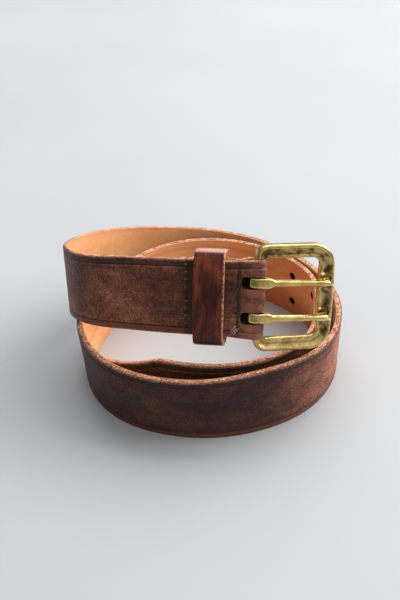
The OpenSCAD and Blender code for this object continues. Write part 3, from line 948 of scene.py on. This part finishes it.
def half_path(power):
    """Outer edge of the frame's lower half, from its near corner to the middle of the far rail:
    point and inward direction. A higher power squares the near corner."""
    y0 = FRAME_H / 2
    near, far = NEAR_R - 0.4, FRAME_L - CORNER_R
    out = []
    for a in np.radians(np.linspace(-172, -90, 22)[:-1]):
        r = NEAR_R * (abs(math.cos(a)) ** power + abs(math.sin(a)) ** power) ** (-1 / power)
        out.append(((near + r * math.cos(a), -y0 + NEAR_R + r * math.sin(a)),
                    (-math.cos(a), -math.sin(a))))
    for x in np.linspace(near, far, 14):
        out.append(((x, -y0), (0, 1)))
    for a in np.radians(np.linspace(-90, 0, 20)[1:-1]):
        out.append(((far + CORNER_R * math.cos(a), -y0 + CORNER_R + CORNER_R * math.sin(a)),
                    (-math.cos(a), -math.sin(a))))
    for y in np.linspace(-y0 + CORNER_R, 0, 46):
        out.append(((FRAME_L, y), (-1, 0)))
    return out


def frame_path():
    """Outer edge of the frame from the lower near corner round to the upper near corner."""
    upper = [((p[0], -p[1]), (d[0], -d[1])) for p, d in half_path(3.0)[-2::-1]]
    return half_path(2.3) + upper


def build_frame():
    section = catmull(RAIL, 2)
    hollow = catmull([(v, 0) for v in HOLLOW], 2)[:, 0]
    level = FRAME_H / 2 - RAIL_W + 0.2
    turn = math.radians(SLANT)
    rings, tints = [], []
    for (px, py), (ix, iy) in frame_path():
        ring = []
        # The far rail is broader and bows out a little at its middle
        bow = max(0.0, 1 - (py / (FRAME_H / 2 - CORNER_R)) ** 2) if px > FRAME_L - 0.01 else 0.0
        for (x, z), tint in zip(section, hollow):
            across = x * (1 + 0.13 * bow ** 0.6) - 0.35 * bow
            point = [px + ix * across, py + iy * across, z]
            if point[0] < NEAR_R + 1 and abs(point[1]) < level:
                point[1] = math.copysign(level, point[1])
            if point[0] > FRAME_L - RAIL_W - 1.6 and z > 0 and abs(point[1]) < 17:
                side = math.copysign(1, point[1])
                rest = side * PAIR_PITCH / 2 - math.sin(turn) * point[0]
                off = point[1] - rest
                cup = off - 1.9
                floor_z = 99.0
                if abs(off) < 2.15:
                    floor_z = PRONG_Z - math.sqrt(2.15 ** 2 - off ** 2)
                if abs(cup) < 1.9 and x > 2.0:
                    floor_z = min(floor_z, 3.1 - 0.75 * math.sqrt(1.9 ** 2 - cup ** 2))
                lip = 0.75 * math.exp(-((off - 4.1) / 0.75) ** 2)
                lip += 0.35 * math.exp(-((off + 2.6) / 0.7) ** 2)
                lip *= min(1.0, max(0.0, x - 2.4) / 1.5) * (z > 1.2)
                point[2] = min(z + lip, floor_z)
            ring.append(point)
            # The lower rail takes less of the painted dark reflection
            kept_bright = 0.35 if py < -FRAME_H / 2 + 6 else 1.0
            tints.append(0.18 + 0.82 * float(np.clip(tint, 0, 1)) * kept_bright)
        rings.append(ring)
    rails = loft(np.array(rings))
    sides = np.linspace(0, 2 * math.pi, 32, endpoint=False)
    bar = loft(np.array([[(BAR_R * math.cos(a), y, BAR_R * math.sin(a)) for a in sides]
                         for y in np.linspace(-level - 0.1, level + 0.1, 11)]))
    verts, faces, bands = join_parts([rails, bar])
    c, x, y, z = frame_axes()
    obj = make_object("buckle_cast_frame", local_to_model(verts, c, x, y, z), faces, [BRASS], sharp=60)
    tints += [0.3] * (len(verts) - len(tints))
    store(obj, "hollow", tints)
    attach(obj, "buckle")
    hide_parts("buckle_frame")


def build_prong(name, node, body, y0):
    """A bevelled base block on an eye round the bar, then a tapering round shaft."""
    stations = [  # x, lowest, highest, half width, squareness
        (-4.15, 2.7, 3.5, 1.5, 3), (-4.0, 2.2, 4.1, 2.1, 4.5), (-3.6, 1.9, 4.6, 2.45, 7),
        (-3.0, 1.8, 5.05, 2.6, 9), (-1.8, 1.8, 5.75, 2.62, 9), (-0.6, 1.8, 6.3, 2.62, 9),
        (0.1, 1.8, 6.55, 2.62, 9), (0.6, 1.9, 6.62, 2.62, 9), (3.0, 2.1, 6.62, 2.62, 9),
        (5.2, 2.4, 6.6, 2.62, 9), (5.9, 2.5, 6.55, 2.6, 9), (7.0, 2.6, 6.4, 2.45, 7),
        (8.0, 2.65, 6.3, 2.2, 4.5), (8.5, 2.7, 6.26, 2.0, 3), (8.9, 2.7, 6.26, 1.86, 2.4),
        (9.6, 2.68, 6.28, 1.80, 2.1), (14, 2.66, 6.3, 1.80, 2), (20, 2.68, 6.3, 1.80, 2),
        (27, 2.72, 6.24, 1.72, 2), (31.5, 2.80, 6.16, 1.62, 2), (33.5, 2.80, 6.18, 1.62, 2),
        (35.0, 2.72, 6.2, 1.74, 2.2), (36.5, 2.68, 6.2, 1.82, 2.4), (38.2, 2.72, 6.12, 1.78, 2.3),
        (39.2, 3.0, 5.9, 1.55, 2.1), (39.8, 3.4, 5.6, 1.15, 2), (40.05, 3.9, 5.1, 0.6, 2)]
    count = 44
    rings = []
    for x, lo, hi, half, power in stations:
        mid, tall = (lo + hi) / 2, (hi - lo) / 2
        ring = []
        for a in np.linspace(0, 2 * math.pi, count, endpoint=False):
            cs, sn = math.cos(a), math.sin(a)
            k = (abs(cs) ** power + abs(sn) ** power) ** (-1 / power)
            ring.append((x, half * cs * k, mid + tall * sn * k))
        rings.append(ring)
    body_mesh = loft(np.array(rings))
    # Eye round the bar, with rounded rims
    sides = np.linspace(0, 2 * math.pi, 48, endpoint=False)
    profile = [(2.27, -2.3), (2.45, -2.5), (2.9, -2.6), (3.5, -2.58), (3.88, -2.35), (4.0, -1.9),
               (4.0, 1.9), (3.88, 2.35), (3.5, 2.58), (2.9, 2.6), (2.45, 2.5), (2.27, 2.3)]
    eye = loft(np.array([[(r * math.cos(a), y, r * math.sin(a)) for r, y in profile] for a in sides]),
               wrap=True)
    verts, faces, bands = join_parts([body_mesh, eye])
    a = math.radians(-SLANT)
    verts = verts @ np.array([[math.cos(a), math.sin(a), 0], [-math.sin(a), math.cos(a), 0], [0, 0, 1]])
    verts = verts + np.array([0, y0, 0])
    c, x, y, z = frame_axes()
    obj = make_object(name, local_to_model(verts, c, x, y, z), faces, [BRASS], sharp=62)
    # The base and collar take a little patina and painted dark reflection
    tint = [0.12 * (v[0] < 2) + 0.10 * (v[0] < 10.5) for v in verts]
    store(obj, "hollow", tint)
    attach(obj, body)
    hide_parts(node)


build_strap()
stitch_row("stitches_buckle", "stitch_row_buckle", ROWS[0], True)
stitch_row("stitches_tail", "stitch_row_tail", ROWS[1], False)
build_keeper()
build_frame()
build_prong("prong_upper_cast", "prong_upper", "upper_prong", PAIR_PITCH / 2)
build_prong("prong_lower_cast", "prong_lower", "lower_prong", -PAIR_PITCH / 2)


# ---------------------------------------------------------------- floor, light and camera
def pale_floor():
    f = Finish("floor_pale")
    here = f.here()
    shade = f.noise(here, 240, 2, 0.4)
    colour = f.ramp(shade, (0.3, (0.385, 0.394, 0.405)), (0.7, (0.415, 0.424, 0.435)))
    f.set(base_color=colour, roughness=0.62)
    return f.mat


FLOOR_REACH = 40        # metres from the middle to the floor's sides
corners = [(x * FLOOR_REACH, y * FLOOR_REACH, 0) for x, y in ((-1, -1), (1, -1), (1, 1), (-1, 1))]
floor = make_object("floor", corners, [(0, 1, 2, 3)], [pale_floor()])


def soft_light(name, place, aim, size, power, tint):
    data = bpy.data.lights.new(name, "AREA")
    data.shape, data.size, data.size_y = "RECTANGLE", size[0], size[1]
    data.energy, data.color = power, tint
    obj = bpy.data.objects.new(name, data)
    obj.location = place
    obj.rotation_euler = (Vector(aim) - Vector(place)).to_track_quat("-Z", "Y").to_euler()
    bpy.context.scene.collection.objects.link(obj)


soft_light("window", (1.5, 0.7, 1.15), (0, 0, 0.03), (2.0, 1.6), 46.0, (1.0, 0.985, 0.96))
soft_light("overhead", (0.1, 0.95, 1.5), (0, 0, 0.0), (1.6, 1.2), 17.0, (0.97, 0.985, 1.0))

# The studio is bright overhead, dim towards the horizon and dimmer still on the camera's side
world = bpy.data.worlds.new("studio")
bpy.context.scene.world = world
world.use_nodes = True
tree = world.node_tree
tree.nodes.clear()
w_out = tree.nodes.new("ShaderNodeOutputWorld")
w_back = tree.nodes.new("ShaderNodeBackground")
w_split = tree.nodes.new("ShaderNodeSeparateXYZ")
w_place = tree.nodes.new("ShaderNodeTexCoord")
tree.links.new(w_place.outputs["Generated"], w_split.inputs[0])


def sky_ramp(axis, *stops):
    ramp = tree.nodes.new("ShaderNodeValToRGB")
    while len(ramp.color_ramp.elements) < len(stops):
        ramp.color_ramp.elements.new(0.5)
    for e, (place, grey) in zip(ramp.color_ramp.elements, stops):
        e.position = place
        e.color = (grey, grey, grey, 1)
    shift = tree.nodes.new("ShaderNodeMapRange")
    shift.inputs["From Min"].default_value = -1.0
    tree.links.new(w_split.outputs[axis], shift.inputs[0])
    tree.links.new(shift.outputs[0], ramp.inputs[0])
    return ramp.outputs[0]


def product(a, b):
    mix = tree.nodes.new("ShaderNodeMix")
    mix.data_type, mix.blend_type = "RGBA", "MULTIPLY"
    mix.inputs[0].default_value = 1.0
    tree.links.new(a, mix.inputs[6])
    tree.links.new(b, mix.inputs[7])
    return mix.outputs[2]


height = sky_ramp("Z", (0.50, 0.26), (0.60, 0.45), (0.78, 0.90), (1.0, 1.0))
depth = sky_ramp("Y", (0.10, 0.60), (0.75, 1.0))
breadth = sky_ramp("X", (0.15, 0.34), (0.85, 1.0))
tree.links.new(product(product(height, depth), breadth), w_back.inputs[0])
tree.links.new(w_back.outputs[0], w_out.inputs[0])
w_back.inputs["Strength"].default_value = 1.7

bpy.context.scene.view_settings.view_transform = "Standard"

ELEVATION, DISTANCE, AIM = math.radians(33.55), 0.625, Vector((-0.0014, 0.0562, 0))
lens = bpy.data.cameras.new("camera")
lens.lens, lens.sensor_width = 57.0, 36.0
lens.clip_start = 0.01
camera = bpy.data.objects.new("camera", lens)
camera.location = AIM + DISTANCE * Vector((0, -math.cos(ELEVATION), math.sin(ELEVATION)))
camera.rotation_euler = (math.pi / 2 - ELEVATION, 0, 0)
bpy.context.scene.collection.objects.link(camera)
bpy.context.scene.camera = camera
